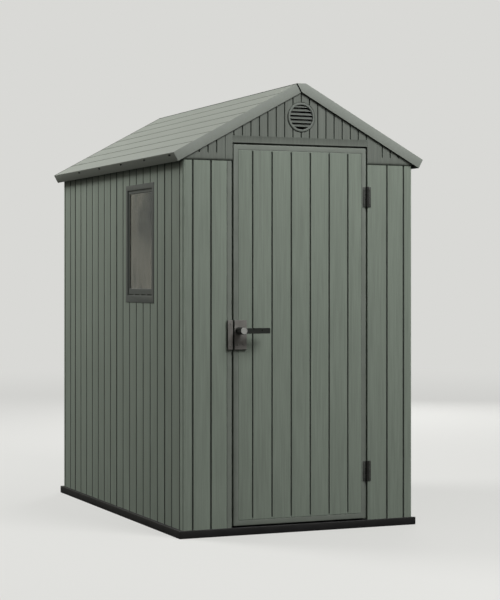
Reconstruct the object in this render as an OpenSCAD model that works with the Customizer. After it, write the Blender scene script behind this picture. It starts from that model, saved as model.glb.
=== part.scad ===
// Plastic garden shed with a pitched roof, one door and one side window.
// Millimetres, +Z up. The origin is the centre of the floor's underside,
// -Y is the door front and the window is in the wall at -X.

/* [Floor] */
// Height of the floor panels
floor_h = 36; // [28:1:60]
// How far the floor stands out past the side walls
floor_side_lip = 17; // [8:1:30]
// How far the floor stands out past the front and rear walls
floor_end_lip = 4; // [2:1:10]

/* [Walls] */
// Outside width of the walls
wall_w = 1155; // [1100:5:1400]
// Outside depth of the walls
wall_d = 1816; // [1500:4:2600]
// Thickness of the wall panels
wall_t = 16; // [12:1:22]
// Height from the side walls' outer top edge up to the top of the doorway
eave_drop = 46; // [30:1:60]
// Length of each front corner panel along the side wall
front_corner_leg = 236; // [200:2:300]
// Length of each rear corner panel along the side wall
rear_corner_leg = 212; // [160:2:300]
// Width of the panel in the middle of the rear wall
rear_panel_w = 686; // [600:2:760]

/* [Gables] */
// How far the gables reach down below the top of the doorway
gable_lap = 84; // [60:1:120]
// How far the gables stand proud of the walls
gable_proud = 4; // [2:0.5:8]
// Height of the vents' centres above the top of the doorway
vent_rise = 125; // [110:1:130]
// Outer diameter of a vent's ring
vent_ring_d = 134; // [100:1:150]
// Width of a vent's ring
vent_ring_w = 10.5; // [6:0.5:14]
// Width of the ring's seat on the gable around its hole
vent_seat = 5; // [3:0.5:6]
// How far a vent stands proud of its gable
vent_proud = 5; // [2:0.5:9]
// Distance between neighbouring louvres
louvre_pitch = 17.6; // [14:0.2:24]
// How far the louvres sit above the vent's middle
louvre_rise = 5.3; // [0:0.1:8]
// Depth of a louvre's blade
louvre_w = 14; // [8:0.5:18]
// Thickness of a louvre's blade
louvre_t = 3; // [2:0.5:4]
// Slope of a louvre's blade, its outer edge low
louvre_tilt = 52; // [0:1:65]

/* [Roof] */
// Slope of the roof
roof_pitch = 28.7; // [24:0.1:32]
// Thickness of the roof panels
roof_t = 18; // [12:1:24]
// Depth of the roof's turned-down rim, square to the slope
rim_h = 46; // [34:1:50]
// Thickness of the rim
rim_t = 9; // [6:0.5:10]
// Clearance between the roof panels and what carries them
roof_seat = 0.3; // [0.2:0.1:1]
// How far the roof reaches past the side walls
eave_overhang = 50.5; // [40:0.5:70]
// Gap between a gable and the rim in front of it
rim_gap = 1.5; // [1:0.5:5]
// Width of the flat strip along the ridge
ridge_flat_w = 42; // [30:1:60]
// How far the flat strip laps over the left roof panel
ridge_lap = 2; // [1:0.5:4]
// Width of the beam under the ridge
beam_w = 40; // [30:1:60]
// Height of the beam under the ridge
beam_h = 60; // [40:1:80]
// Wall thickness of the beam under the ridge
beam_wall = 3; // [2:0.5:5]

/* [Door] */
// Width of the door leaf
door_w = 668; // [600:2:680]
// Height of the door leaf
door_h = 1721; // [1500:1:1900]
// Thickness of the door leaf
door_t = 16; // [14:1:20]
// Gap around the door at its sides and top
door_gap = 8; // [6:0.5:10]
// Gap between the door and the gable on each side of it
gable_gap = 5.5; // [5.5:0.5:8]
// Gap under the door
door_floor_gap = 7; // [5:0.5:10]
// Width of the door's edge frame
door_edge_w = 24; // [18:1:40]
// Width of the post that the lock closes against
strike_post_w = 24; // [18:1:40]
// How far the door stops reach behind the leaf
stop_lap = 12; // [6:1:18]
// Width of the door stops behind the wall
stop_seat = 20; // [14:1:30]
// Thickness of the door stops' lapping edge
stop_t = 12; // [8:1:18]
// Clearance between the closed leaf and its stops
stop_gap = 5.5; // [5:0.5:8]

/* [Hinges] */
// Height of a hinge
hinge_h = 94; // [80:1:120]
// Diameter of a hinge's knuckles
knuckle_d = 14; // [12:0.5:18]
// Diameter of a hinge pin
hinge_pin_d = 6; // [4:0.5:8]
// Radial clearance around pins and the lever's spindle
pin_play = 0.08; // [0.05:0.01:0.1]
// Gap between neighbouring knuckles
knuckle_gap = 0.5; // [0.3:0.1:1]
// Thickness of a hinge leaf
leaf_t = 3; // [2:0.5:4]
// Width of a hinge leaf from the pin to its edge
leaf_w = 21; // [16:1:30]
// Height of a hinge pin's head
pin_head_h = 2; // [1:0.5:3]
// Distance from the door's top edge to the upper hinge's centre
upper_hinge_inset = 226; // [120:1:300]
// Distance from the door's bottom edge to the lower hinge's centre
lower_hinge_inset = 220; // [120:1:300]

/* [Lock] */
// Height of the lock case
lock_h = 133; // [110:1:160]
// Width of the lock case
lock_w = 60; // [44:1:70]
// Depth of the lock case and the keep
lock_t = 13; // [9:0.5:16]
// Distance from the door's bottom edge to the lock case's centre
lock_rise = 862; // [780:1:980]
// Distance from the lock case's outer edge to the lever's axis
hub_inset = 20; // [20:1:32]
// Height of the lever's axis above the lock case's centre
hub_rise = 19; // [-20:1:30]
// Diameter of the lever's hub
hub_d = 34; // [28:1:38]
// Length of the lever's hub
hub_l = 61; // [45:1:70]
// Clearance between the hub and the lock case
hub_gap = 0.5; // [0.3:0.1:1]
// Diameter of the lever's spindle
spindle_d = 12; // [8:1:16]
// Length of the spindle inside the lock case
spindle_l = 12; // [6:1:13]
// Length of the lever's arm from its axis
arm_l = 130; // [90:1:150]
// Height of the lever's arm
arm_h = 25; // [16:1:26]
// Depth of the lever's arm
arm_t = 14; // [10:1:20]
// Diameter of the cap on the hub
cap_d = 31; // [24:1:34]
// Height of the cap on the hub
cap_h = 4; // [2:0.5:6]

/* [Window] */
// Distance from the panel's front edge to the window frame
window_inset = 142; // [110:1:180]
// Width of the window frame
window_w = 396; // [300:2:430]
// Height of the window frame
window_h = 564; // [400:2:640]
// Distance from the side wall's outer top edge down to the window frame
window_drop = 118; // [90:1:300]
// Width of the frame's band at the sides
frame_side_band = 26; // [20:1:36]
// Width of the frame's band at the top
frame_band = 26; // [20:1:34]
// Width of the frame's band at the bottom
frame_sill_band = 34; // [24:1:44]
// How far the frame stands proud of the wall
frame_proud = 2; // [1:0.5:6]
// How far the frame laps over the wall around its hole
frame_lap = 12; // [8:1:16]
// Height of the pane's rebate above and below the glass
bead_top = 17; // [8:1:26]
// Height of the sill inside the frame
bead_sill = 33; // [8:1:34]
// Width of the rebate at the pane's sides
bead_side = 18; // [4:1:34]
// Thickness of the pane's rebate
bead_t = 3; // [2:0.5:4]
// Thickness of the pane
pane_t = 3; // [2:0.5:5]
// Distance from the frame's face back to the pane
pane_depth = 8; // [7:0.5:13]
// Thickness of the trim around the window inside
trim_t = 8; // [5:1:14]

/* [Hidden] */
round_fn = 48;
half_w = wall_w / 2;
half_d = wall_d / 2;
wall_z = floor_h;

// Door and opening
opening_x = door_w / 2 + door_gap;
gable_x = door_w / 2 + gable_gap;
door_z = floor_h + door_floor_gap;
door_top_z = door_z + door_h;
opening_z = door_top_z + door_gap;
wall_top_z = opening_z - eave_drop;
gable_z = opening_z - gable_lap;
door_face_y = -half_d;
door_back_y = door_face_y + door_t;
wall_back_y = -half_d + wall_t;
stop_front_y = max(door_back_y, wall_back_y) + stop_gap;
stop_back_y = stop_front_y + stop_t;

// Roof section, measured down the slope from the ridge
rise = tan(roof_pitch);
roof_drop = roof_t / cos(roof_pitch);
eave_x = half_w + eave_overhang;
eave_z = wall_top_z + roof_drop - eave_overhang * rise;
peak_z = eave_z + eave_x * rise;
ridge_z = peak_z - ridge_flat_w / 2 * rise;
roof_y = half_d + gable_proud + rim_gap + rim_t;
seam_x = -(ridge_flat_w / 2 + ridge_lap);

// Hinges
hinge_x = door_w / 2 + door_gap / 2;
hinge_y = door_face_y - knuckle_d / 2;
knuckle_h = (hinge_h - 2 * knuckle_gap) / 3;
upper_hinge_z = door_top_z - upper_hinge_inset;
lower_hinge_z = door_z + lower_hinge_inset;

// Lock
lock_x = -door_w / 2;
lock_z = door_z + lock_rise;
hub_x = lock_x + hub_inset;
hub_z = lock_z + hub_rise;
lock_face_y = door_face_y - lock_t;
hub_back_y = lock_face_y - hub_gap;
hub_front_y = hub_back_y - hub_l;
arm_inset = 3;
pin_head_d = hinge_pin_d + 4;

// Side panels between the corner panels
side_panel_l = (wall_d - front_corner_leg - rear_corner_leg) / 2;
front_side_y = -half_d + front_corner_leg;
rear_side_y = front_side_y + side_panel_l;

// Window
window_y = front_side_y + window_inset;
window_z = wall_top_z - window_drop - window_h;
hole_y = window_y + frame_lap;
hole_z = window_z + frame_lap;
hole_w = window_w - 2 * frame_lap;
hole_h = window_h - 2 * frame_lap;
light_y = window_y + frame_side_band;
light_z = window_z + frame_sill_band;
light_w = window_w - 2 * frame_side_band;
light_h = window_h - frame_band - frame_sill_band;

// Small fits that stay the same at any size
pane_lap = 6;
pane_play = 0.3;

// Vents
vent_z = opening_z + vent_rise;
vent_r = vent_ring_d / 2;
vent_hole_r = vent_r - vent_seat;
vent_bore_r = vent_r - vent_ring_w;
louvre_count = floor(2 * vent_bore_r / louvre_pitch);
gable_t = wall_t + gable_proud;

wall_green = "#767F74";
roof_green = "#939892";
dark_grey = "#555855";
near_black = "#1C1C1E";
lock_grey = "#625D5A";

// Height of what carries the roof panels at distance x from the middle
function under_roof(x) = peak_z - roof_drop - roof_seat - abs(x) * rise;

// Box from its low corner to its high corner
module block(low, high) {
    translate(low) cube(high - low);
}

// Outline in X and Z, given thickness from y0 to y1
module upright(y0, y1) {
    translate([0, y1, 0]) rotate([90, 0, 0]) linear_extrude(y1 - y0) children();
}

// ---- Floor ----

module floor_panel(y0, y1) {
    block([-half_w - floor_side_lip, y0, 0], [half_w + floor_side_lip, y1, floor_h]);
}

module floor_front_panel() {
    color(near_black) floor_panel(-half_d - floor_end_lip, 0);
}

module floor_rear_panel() {
    color(near_black) floor_panel(0, half_d + floor_end_lip);
}

// ---- Walls ----

// Stretch of side wall from y0 to y1, its top cut to the roof's slope
module side_wall(side, y0, y1) {
    inner = half_w - wall_t;
    upright(y0, y1) polygon([[side * half_w, wall_z], [side * inner, wall_z],
        [side * inner, under_roof(inner)], [side * half_w, under_roof(half_w)]]);
}

// Stretch of front or rear wall from x0 to x1, its outer face at y
module end_wall(x0, x1, y0, y1) {
    block([x0, y0, wall_z], [x1, y1, gable_z]);
}

module front_corner(side) {
    inner = half_w - wall_t;
    outer_x = side < 0 ? opening_x + strike_post_w : opening_x;
    color(wall_green) union() {
        side_wall(side, wall_back_y, front_side_y);
        if (side < 0) end_wall(-half_w, -outer_x, -half_d, wall_back_y);
        else end_wall(outer_x, half_w, -half_d, wall_back_y);
    }
}

module front_left_corner() { front_corner(-1); }

module front_right_corner() { front_corner(1); }

module rear_corner(side) {
    edge = rear_panel_w / 2;
    color(wall_green) union() {
        side_wall(side, half_d - rear_corner_leg, half_d - wall_t);
        if (side < 0) end_wall(-half_w, -edge, half_d - wall_t, half_d);
        else end_wall(edge, half_w, half_d - wall_t, half_d);
    }
}

module rear_left_corner() { rear_corner(-1); }

module rear_right_corner() { rear_corner(1); }

module left_front_side_panel() {
    color(wall_green) difference() {
        side_wall(-1, front_side_y, rear_side_y);
        block([-half_w - wall_t, hole_y, hole_z], [-half_w + 2 * wall_t, hole_y + hole_w, hole_z + hole_h]);
    }
}

module left_rear_side_panel() {
    color(wall_green) side_wall(-1, rear_side_y, rear_side_y + side_panel_l);
}

module right_front_side_panel() {
    color(wall_green) side_wall(1, front_side_y, rear_side_y);
}

module right_rear_side_panel() {
    color(wall_green) side_wall(1, rear_side_y, rear_side_y + side_panel_l);
}

module rear_wall_panel() {
    edge = rear_panel_w / 2;
    color(wall_green) end_wall(-edge, edge, half_d - wall_t, half_d);
}

// ---- Door surround ----

module strike_post() {
    color(dark_grey) end_wall(-opening_x - strike_post_w, -opening_x, -half_d, wall_back_y);
}

// Stop behind one side of the opening: a seat on the wall and a lap behind the leaf
module door_stop(side) {
    lap = opening_x - stop_lap;
    seat = opening_x + stop_seat;
    translate([0, 0, wall_z]) linear_extrude(opening_z - stop_lap - wall_z) polygon([
        [side * opening_x, wall_back_y], [side * seat, wall_back_y], [side * seat, stop_back_y],
        [side * lap, stop_back_y], [side * lap, stop_front_y], [side * opening_x, stop_front_y]]);
}

module left_door_stop() {
    color(dark_grey) door_stop(-1);
}

module right_door_stop() {
    color(dark_grey) door_stop(1);
}

// Stop over the opening, between the gable and the top of the leaf
module head_stop() {
    reach = opening_x + stop_seat;
    color(dark_grey) union() {
        block([-reach, wall_back_y, opening_z], [reach, stop_back_y, opening_z + stop_seat]);
        block([-reach, stop_front_y, opening_z - stop_lap], [reach, stop_back_y, opening_z]);
    }
}

// ---- Gables ----

// Outline of a gable from its lower edge up to the roof panels
module gable_outline() {
    polygon([[-half_w, gable_z], [half_w, gable_z], [half_w, under_roof(half_w)],
        [0, under_roof(0)], [-half_w, under_roof(half_w)]]);
}

module gable_plate(y0, y1) {
    difference() {
        upright(y0, y1) gable_outline();
        translate([0, y0 - 1, vent_z]) rotate([-90, 0, 0])
            cylinder(r = vent_hole_r, h = y1 - y0 + 2, $fn = round_fn);
    }
}

module front_gable() {
    color(wall_green) difference() {
        gable_plate(-half_d - gable_proud, wall_back_y);
        block([-gable_x, -half_d - wall_t, gable_z - 1], [gable_x, wall_back_y + 1, opening_z]);
    }
}

module rear_gable() {
    color(wall_green) gable_plate(half_d - wall_t, half_d + gable_proud);
}

// Round vent facing -Y: a ring seated on the gable, a sleeve through it and sloping louvres
module vent() {
    depth = gable_t + vent_proud;
    first = (louvre_count - 1) / 2;
    rotate([-90, 0, 0]) difference() {
        union() {
            cylinder(r = vent_r, h = vent_proud, $fn = round_fn);
            cylinder(r = vent_hole_r, h = depth, $fn = round_fn);
        }
        translate([0, 0, -1]) cylinder(r = vent_bore_r, h = depth + 2, $fn = round_fn);
    }
    intersection() {
        rotate([-90, 0, 0]) cylinder(r = vent_bore_r + 1, h = depth, $fn = round_fn);
        for (k = [0 : louvre_count - 1])
            translate([0, louvre_w / 2, louvre_rise + (k - first) * louvre_pitch]) rotate([louvre_tilt, 0, 0])
                cube([2 * vent_r, louvre_w, louvre_t], center = true);
    }
}

module front_vent() {
    color(dark_grey) translate([0, -half_d - gable_proud - vent_proud, vent_z]) vent();
}

module rear_vent() {
    color(dark_grey) translate([0, half_d + gable_proud + vent_proud, vent_z]) rotate([0, 0, 180]) vent();
}

// ---- Roof ----

// Point at distance s up the slope from the eave and at depth d under the roof's top
function slope_point(side, s, d) = [side * (eave_x - s * cos(roof_pitch) - d * sin(roof_pitch)),
    eave_z + s * sin(roof_pitch) - d * cos(roof_pitch)];

// Section of one roof panel down to depth d; the right one carries the flat ridge
module roof_section(side, d) {
    lap_z = peak_z + seam_x * rise;
    ridge = side > 0 ? [[ridge_flat_w / 2, ridge_z], [seam_x, ridge_z]] : [];
    polygon(concat([slope_point(side, 0, 0)], ridge, [[seam_x, lap_z],
        [0, peak_z - d / cos(roof_pitch)], slope_point(side, 0, d)]));
}

// Roof panel: a plate with a rim turned down along its eave and its two ends
module roof_panel(side) {
    color(roof_green) union() {
        upright(-roof_y + rim_t, roof_y - rim_t) roof_section(side, roof_t);
        upright(-roof_y, -roof_y + rim_t) roof_section(side, rim_h);
        upright(roof_y - rim_t, roof_y) roof_section(side, rim_h);
        upright(-roof_y, roof_y) polygon([slope_point(side, 0, 0), slope_point(side, rim_t, 0),
            slope_point(side, rim_t, rim_h), slope_point(side, 0, rim_h)]);
    }
}

module left_roof_panel() { roof_panel(-1); }

module right_roof_panel() { roof_panel(1); }

// Box-section beam under the ridge, from gable to gable
module ridge_beam() {
    length = wall_d - 2 * wall_t;
    top = under_roof(beam_w / 2);
    color("silver") upright(-length / 2, length / 2) difference() {
        translate([-beam_w / 2, top - beam_h]) square([beam_w, beam_h]);
        translate([beam_wall - beam_w / 2, top - beam_h + beam_wall])
            square([beam_w - 2 * beam_wall, beam_h - 2 * beam_wall]);
    }
}

// ---- Window ----

// Plate in the left wall from x0 to x1 over a rectangle in Y and Z
module side_plate(x0, x1, y, z, w, h) {
    block([x0, y, z], [x1, y + w, z + h]);
}

module window_frame() {
    outer = -half_w - frame_proud;
    inner = -half_w + wall_t;
    pane_x = outer + pane_depth;
    seat = pane_lap + pane_play;
    color(dark_grey) difference() {
        union() {
            side_plate(outer, -half_w, window_y, window_z, window_w, window_h);
            side_plate(-half_w, inner, hole_y, hole_z, hole_w, hole_h);
        }
        side_plate(outer - 1, pane_x - bead_t, light_y, light_z, light_w, light_h);
        side_plate(pane_x - bead_t - 1, pane_x + 1, light_y + bead_side, light_z + bead_sill,
            light_w - 2 * bead_side, light_h - bead_sill - bead_top);
        side_plate(pane_x, inner + 1, light_y - seat, light_z - seat, light_w + 2 * seat, light_h + 2 * seat);
    }
}

module window_pane() {
    front = -half_w - frame_proud + pane_depth;
    color([0.55, 0.6, 0.6, 0.4]) side_plate(front, front + pane_t, light_y - pane_lap,
        light_z - pane_lap, light_w + 2 * pane_lap, light_h + 2 * pane_lap);
}

module window_trim() {
    inner = -half_w + wall_t;
    sleeve_x = -half_w - frame_proud + pane_depth + pane_t + pane_play;
    color(dark_grey) difference() {
        union() {
            side_plate(inner, inner + trim_t, window_y, window_z, window_w, window_h);
            side_plate(sleeve_x, inner, light_y - pane_lap, light_z - pane_lap,
                light_w + 2 * pane_lap, light_h + 2 * pane_lap);
        }
        side_plate(sleeve_x - 1, inner + trim_t + 1, light_y, light_z, light_w, light_h);
    }
}

// ---- Hinges ----

// Upright pin-shaped solid on the hinge's axis, from height z0 to z1
module on_axis(d, z0, z1) {
    translate([hinge_x, hinge_y, z0]) cylinder(d = d, h = z1 - z0, $fn = round_fn);
}

// Leaf of a hinge with its knuckles at the given places, counted from the bottom
module hinge_leaf(side, center_z, places) {
    low_z = center_z - hinge_h / 2;
    edge = side * (knuckle_d / 2 + knuckle_gap);
    difference() {
        union() {
            plate(side, edge, low_z, low_z + hinge_h);
            for (k = places) {
                knuckle_z = low_z + k * (knuckle_h + knuckle_gap);
                plate(side, 0, knuckle_z, knuckle_z + knuckle_h);
                on_axis(knuckle_d, knuckle_z, knuckle_z + knuckle_h);
            }
        }
        on_axis(hinge_pin_d + 2 * pin_play, low_z - 1, low_z + hinge_h + 1);
    }
}

// Flat part of a hinge leaf, from x0 beside the axis out to the leaf's edge
module plate(side, x0, z0, z1) {
    x1 = side * leaf_w;
    block([hinge_x + min(x0, x1), door_face_y - leaf_t, z0], [hinge_x + max(x0, x1), door_face_y, z1]);
}

module hinge_pin(center_z) {
    top_z = center_z + hinge_h / 2;
    color(near_black) union() {
        on_axis(hinge_pin_d, center_z - hinge_h / 2, top_z);
        on_axis(pin_head_d, top_z, top_z + pin_head_h);
    }
}

module upper_frame_leaf() {
    color(near_black) hinge_leaf(1, upper_hinge_z, [0, 2]);
}

module lower_frame_leaf() {
    color(near_black) hinge_leaf(1, lower_hinge_z, [0, 2]);
}

module upper_door_leaf() {
    color(near_black) hinge_leaf(-1, upper_hinge_z, [1]);
}

module lower_door_leaf() {
    color(near_black) hinge_leaf(-1, lower_hinge_z, [1]);
}

module upper_hinge_pin() { hinge_pin(upper_hinge_z); }

module lower_hinge_pin() { hinge_pin(lower_hinge_z); }

// ---- Door ----

module door_panel() {
    inset = door_w / 2 - door_edge_w;
    color(wall_green) block([-inset, door_face_y, door_z + door_edge_w],
        [inset, door_back_y, door_top_z - door_edge_w]);
}

module door_edge_frame() {
    inset = door_w / 2 - door_edge_w;
    color(dark_grey) difference() {
        block([-door_w / 2, door_face_y, door_z], [door_w / 2, door_back_y, door_top_z]);
        block([-inset, door_face_y - 1, door_z + door_edge_w],
            [inset, door_back_y + 1, door_top_z - door_edge_w]);
    }
}

// ---- Lock and lever ----

// Round solid on the lever's axis, from y0 back to y1
module on_lever_axis(d, y0, y1) {
    translate([hub_x, y0, hub_z]) rotate([-90, 0, 0]) cylinder(d = d, h = y1 - y0, $fn = round_fn);
}

module keep_plate() {
    color(lock_grey) block([-opening_x - strike_post_w, lock_face_y, lock_z - lock_h / 2],
        [-opening_x, door_face_y, lock_z + lock_h / 2]);
}

module lock_case() {
    color(lock_grey) difference() {
        block([lock_x, lock_face_y, lock_z - lock_h / 2],
            [lock_x + lock_w, door_face_y, lock_z + lock_h / 2]);
        on_lever_axis(spindle_d + 2 * pin_play, lock_face_y - 1, lock_face_y + spindle_l);
    }
}

module door_lever() {
    arm_y = hub_front_y + arm_inset;
    color(near_black) union() {
        on_lever_axis(hub_d, hub_front_y, hub_back_y);
        on_lever_axis(spindle_d, hub_back_y, lock_face_y + spindle_l - pin_play);
        block([hub_x, arm_y, hub_z - arm_h / 2], [hub_x + arm_l, arm_y + arm_t, hub_z + arm_h / 2]);
    }
}

module lever_cap() {
    color("lightgrey") on_lever_axis(cap_d, hub_front_y - cap_h, hub_front_y);
}

floor_front_panel();
floor_rear_panel();
front_left_corner();
front_right_corner();
left_front_side_panel();
left_rear_side_panel();
right_front_side_panel();
right_rear_side_panel();
rear_left_corner();
rear_right_corner();
rear_wall_panel();
strike_post();
left_door_stop();
right_door_stop();
head_stop();
front_gable();
rear_gable();
front_vent();
rear_vent();
left_roof_panel();
right_roof_panel();
ridge_beam();
window_frame();
window_pane();
window_trim();
keep_plate();
upper_frame_leaf();
lower_frame_leaf();
upper_hinge_pin();
lower_hinge_pin();
door_panel();
door_edge_frame();
upper_door_leaf();
lower_door_leaf();
lock_case();
door_lever();
lever_cap();
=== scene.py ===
"""Dresses a plastic garden shed: its boards, roof, gables, window, door and fittings, in a plain studio."""
import math

import bmesh
import bpy
from bpy.props import FloatProperty, FloatVectorProperty, IntProperty, PointerProperty
from mathutils import Matrix, Vector


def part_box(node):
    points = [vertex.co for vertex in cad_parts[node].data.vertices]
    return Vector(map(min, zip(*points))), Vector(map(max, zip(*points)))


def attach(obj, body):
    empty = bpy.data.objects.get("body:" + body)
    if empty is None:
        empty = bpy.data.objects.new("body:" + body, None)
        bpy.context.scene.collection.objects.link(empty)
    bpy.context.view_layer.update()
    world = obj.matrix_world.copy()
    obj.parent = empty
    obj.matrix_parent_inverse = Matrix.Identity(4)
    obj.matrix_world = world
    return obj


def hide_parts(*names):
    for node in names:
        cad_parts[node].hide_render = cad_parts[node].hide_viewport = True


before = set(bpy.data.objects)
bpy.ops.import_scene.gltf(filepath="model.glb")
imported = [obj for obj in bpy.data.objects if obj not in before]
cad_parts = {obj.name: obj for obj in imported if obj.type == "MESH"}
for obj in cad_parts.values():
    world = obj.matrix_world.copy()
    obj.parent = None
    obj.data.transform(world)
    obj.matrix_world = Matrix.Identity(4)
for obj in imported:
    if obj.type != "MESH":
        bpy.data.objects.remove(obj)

bl_info = {
    "name": "Garden Shed Dresser",
    "version": (1, 0, 0),
    "blender": (4, 5, 0),
    "location": "View3D > Sidebar > Shed",
    "description": "Builds the boards, roof, gables, window and door fittings of a plastic garden shed",
    "category": "Object",
}

# One millimetre in metres
MM = 0.001
# Points closer than this count as one
TINY = 2e-5
# How far a cutting tool stands clear of the face that it starts from
CLEAR = 1 * MM
# Least part of a face's normal along a direction with which it faces that way
FACING = 0.9
# Places in a piece's list of finishes: board lines, painted shade inside the grooves; the roof's fascia, and
# its edges painted near black as shade; and the corner strips, painted lighter as a highlight
LINE, FASCIA, SHADE, CORNER = 1, 2, 3, 2
# Steps in the rounding of the shed's upright corners
CORNER_STEPS = 6
# Width of the pane held behind the frame on every side
PANE_LAP = 6 * MM
# How far the window's frame laps over the wall around its hole
WINDOW_LAP = Vector((0, 12 * MM, 12 * MM))
# Thickness of the stops' lip behind the door
STOP_LIP = 12 * MM
# Radii of the hinge pins, of their bores and of the lever's spindle
PIN_R, PIN_BORE_R, SPINDLE_R = 3 * MM, 3.08 * MM, 6 * MM
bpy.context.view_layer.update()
X, Y, Z = Vector((1, 0, 0)), Vector((0, 1, 0)), Vector((0, 0, 1))
# Every finish by its slot's name, filled by make_finishes
FINISHES = {}


# ---- Places read from the frame ----

def low(node):
    """Lowest corner of a CAD node."""
    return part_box(node)[0]


def high(node):
    """Highest corner of a CAD node."""
    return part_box(node)[1]


HALF_W = high("front_right_corner").x
HALF_D = high("rear_wall_panel").y
WALL_Z = low("rear_wall_panel").z
WALL_T = HALF_D - low("rear_wall_panel").y
INNER_X, INNER_Y = HALF_W - WALL_T, HALF_D - WALL_T
OPENING_X = low("front_right_corner").x
DOOR_LOW, DOOR_HIGH = low("door_edge_frame"), high("door_edge_frame")
FIELD_LOW, FIELD_HIGH = low("door_panel"), high("door_panel")
GABLE_Y = -low("front_gable").y
GABLE_Z = low("front_gable").z
GABLE_TOP = high("front_gable").z
OPENING_Z = DOOR_HIGH.z + (OPENING_X - DOOR_HIGH.x)
ROOF_RISE = (GABLE_TOP - high("left_rear_side_panel").z) / INNER_X
PITCH = math.atan(ROOF_RISE)
ROOF_Y = high("right_roof_panel").y
EAVE_X = high("right_roof_panel").x
SEAM_X = low("right_roof_panel").x
RIDGE_Z = high("right_roof_panel").z
PEAK_Z = high("left_roof_panel").z - SEAM_X * ROOF_RISE
EAVE_Z = PEAK_Z - EAVE_X * ROOF_RISE
RIM_H = (EAVE_Z - low("right_roof_panel").z) / math.cos(PITCH)
VENT_Z = (low("front_vent").z + high("front_vent").z) / 2
VENT_R = high("front_vent").x
VENT_HOLE_R = VENT_R - 5 * MM
HINGE_X = (low("upper_hinge_pin").x + high("upper_hinge_pin").x) / 2
HINGE_Y = (low("upper_hinge_pin").y + high("upper_hinge_pin").y) / 2
HUB_X = (low("lever_cap").x + high("lever_cap").x) / 2
HUB_Z = (low("lever_cap").z + high("lever_cap").z) / 2


def sign(place):
    """1 for a place on the positive side of the shed's middle, and -1 for one on the other side."""
    return 1 if place > 0 else -1


def centred(number, pitch):
    """Places of a row of lines that are spaced evenly about the middle."""
    return [k * pitch / 2 for k in range(1 - number, number, 2)]


def under_roof(x):
    """Height of what carries the roof at a distance x from the middle."""
    return GABLE_TOP - abs(x) * ROOF_RISE


def slope_point(side, up, deep):
    """Point of the roof's section at a distance up from the eave and a depth below its top."""
    return Vector((side * (EAVE_X - up * math.cos(PITCH) - deep * math.sin(PITCH)), 0,
                   EAVE_Z + up * math.sin(PITCH) - deep * math.cos(PITCH)))


# ---- Sizes and colours that a user may change ----

def linear(value):
    """One sRGB channel from 0 to 1 as linear light."""
    return value / 12.92 if value <= 0.04045 else ((value + 0.055) / 1.055) ** 2.4


def colour(code):
    """An sRGB hex code as a linear RGBA colour."""
    return [linear(int(code[i:i + 2], 16) / 255) for i in (1, 3, 5)] + [1.0]


def length(name, description, millimetres):
    """A length that a user may change."""
    return FloatProperty(name=name, description=description, default=millimetres * MM, min=0,
                         precision=4, unit="LENGTH")


def count(name, description, number, least=1):
    """A number of like things that a user may change."""
    return IntProperty(name=name, description=description, default=number, min=least)


def finish_colour(name, description, code):
    """A colour that a user may change."""
    return FloatVectorProperty(name=name, description=description, default=colour(code), size=4,
                               min=0, max=1, subtype="COLOR")


class ShedBoards(bpy.types.PropertyGroup):
    """Sizes of the boards moulded into the walls, gables and door."""
    groove_w: length("Groove width", "Width of the line between two wall boards at its mouth", 9)
    groove_floor: length("Groove floor", "Width of that line at its bottom", 6)
    groove_depth: length("Groove depth", "Depth of that line", 8)
    joint_w: length("Joint width", "Width of the line where two panels meet, at its mouth", 13)
    joint_floor: length("Joint floor", "Width of that line at its bottom", 10)
    joint_depth: length("Joint depth", "Depth of the line where two panels meet", 11)
    lip_w: length("Lip width", "Width of the rounded lip along each line", 3.5)
    lip_drop: length("Lip drop", "Depth that the lip falls by", 0.8)
    inner_depth: length("Inner groove depth", "Depth of the lines inside the walls", 2.5)
    corner_r: length("Corner radius", "Rounding of the shed's upright corners", 13)
    end_groove_outer: length("Outer end line", "Outer board line of the end walls from the middle", 531)
    end_groove_inner: length("Inner end line", "Inner board line of the end walls from the middle", 443.5)
    side_groove_first: length("First side line", "First board line of a side wall from the front", 42)
    side_groove_second: length("Second side line", "Second board line of a side wall from the front", 144.5)
    rear_groove_first: length("First rear line", "First board line of a side wall from the rear", 30)
    rear_groove_second: length("Second rear line", "Second board line of a side wall from the rear", 126)
    panel_boards: count("Panel boards", "Boards in each wide wall panel", 7, 2)
    gable_pitch: length("Gable pitch", "Spacing of the gables' board lines", 41.75)
    gable_groove_w: length("Gable groove width", "Width of the gables' board lines", 6.5)
    gable_groove_depth: length("Gable groove depth", "Depth of the gables' board lines", 6.5)
    gable_band: length("Gable band", "Plain band along the gables' lower edge", 33)
    lintel_band: length("Lintel band", "Plain band over the door opening", 29)
    door_lines: count("Door lines", "Board lines in the door's field", 6)
    door_pitch: length("Door pitch", "Spacing of the door's board lines", 96)
    door_groove_w: length("Door groove width", "Width of the door's board lines", 7.5)


class ShedRoof(bpy.types.PropertyGroup):
    """Sizes of the roof panels' details."""
    plank_lines: count("Plank lines", "Plank lines on each slope", 6)
    plank_first: length("First plank", "First plank line up the slope from the eave", 106)
    plank_pitch: length("Plank pitch", "Spacing of the plank lines up the slope", 96.5)
    plank_groove_w: length("Plank groove width", "Width of a plank line", 8)
    plank_groove_depth: length("Plank groove depth", "Depth of a plank line", 3)
    rim_t: length("Rim thickness", "Thickness of the rim turned down around the roof", 9)
    roof_t: length("Roof thickness", "Thickness of the roof panels", 18)
    arris: length("Arris", "Rounding of the roof's edges", 2.5)
    slots: count("Slots", "Drain slots along each eave", 5)
    slot_first: length("First slot", "First drain slot of an eave from the front of the walls", 52)
    slot_pitch: length("Slot pitch", "Spacing of the drain slots along an eave", 335)
    slot_w: length("Slot width", "Width of a drain slot", 26)
    slot_h: length("Slot height", "Height of a drain slot", 8)
    slot_top: length("Slot inset", "Distance from the fascia's top edge down to a drain slot", 8)
    seam_gap: length("Seam gap", "Open joint between the two roof panels at the ridge", 6)
    # The verge strip is painted near black as shade
    verge_shade_w: length("Verge width", "Width of the dark strip along the roof's rear edge", 24)


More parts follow.
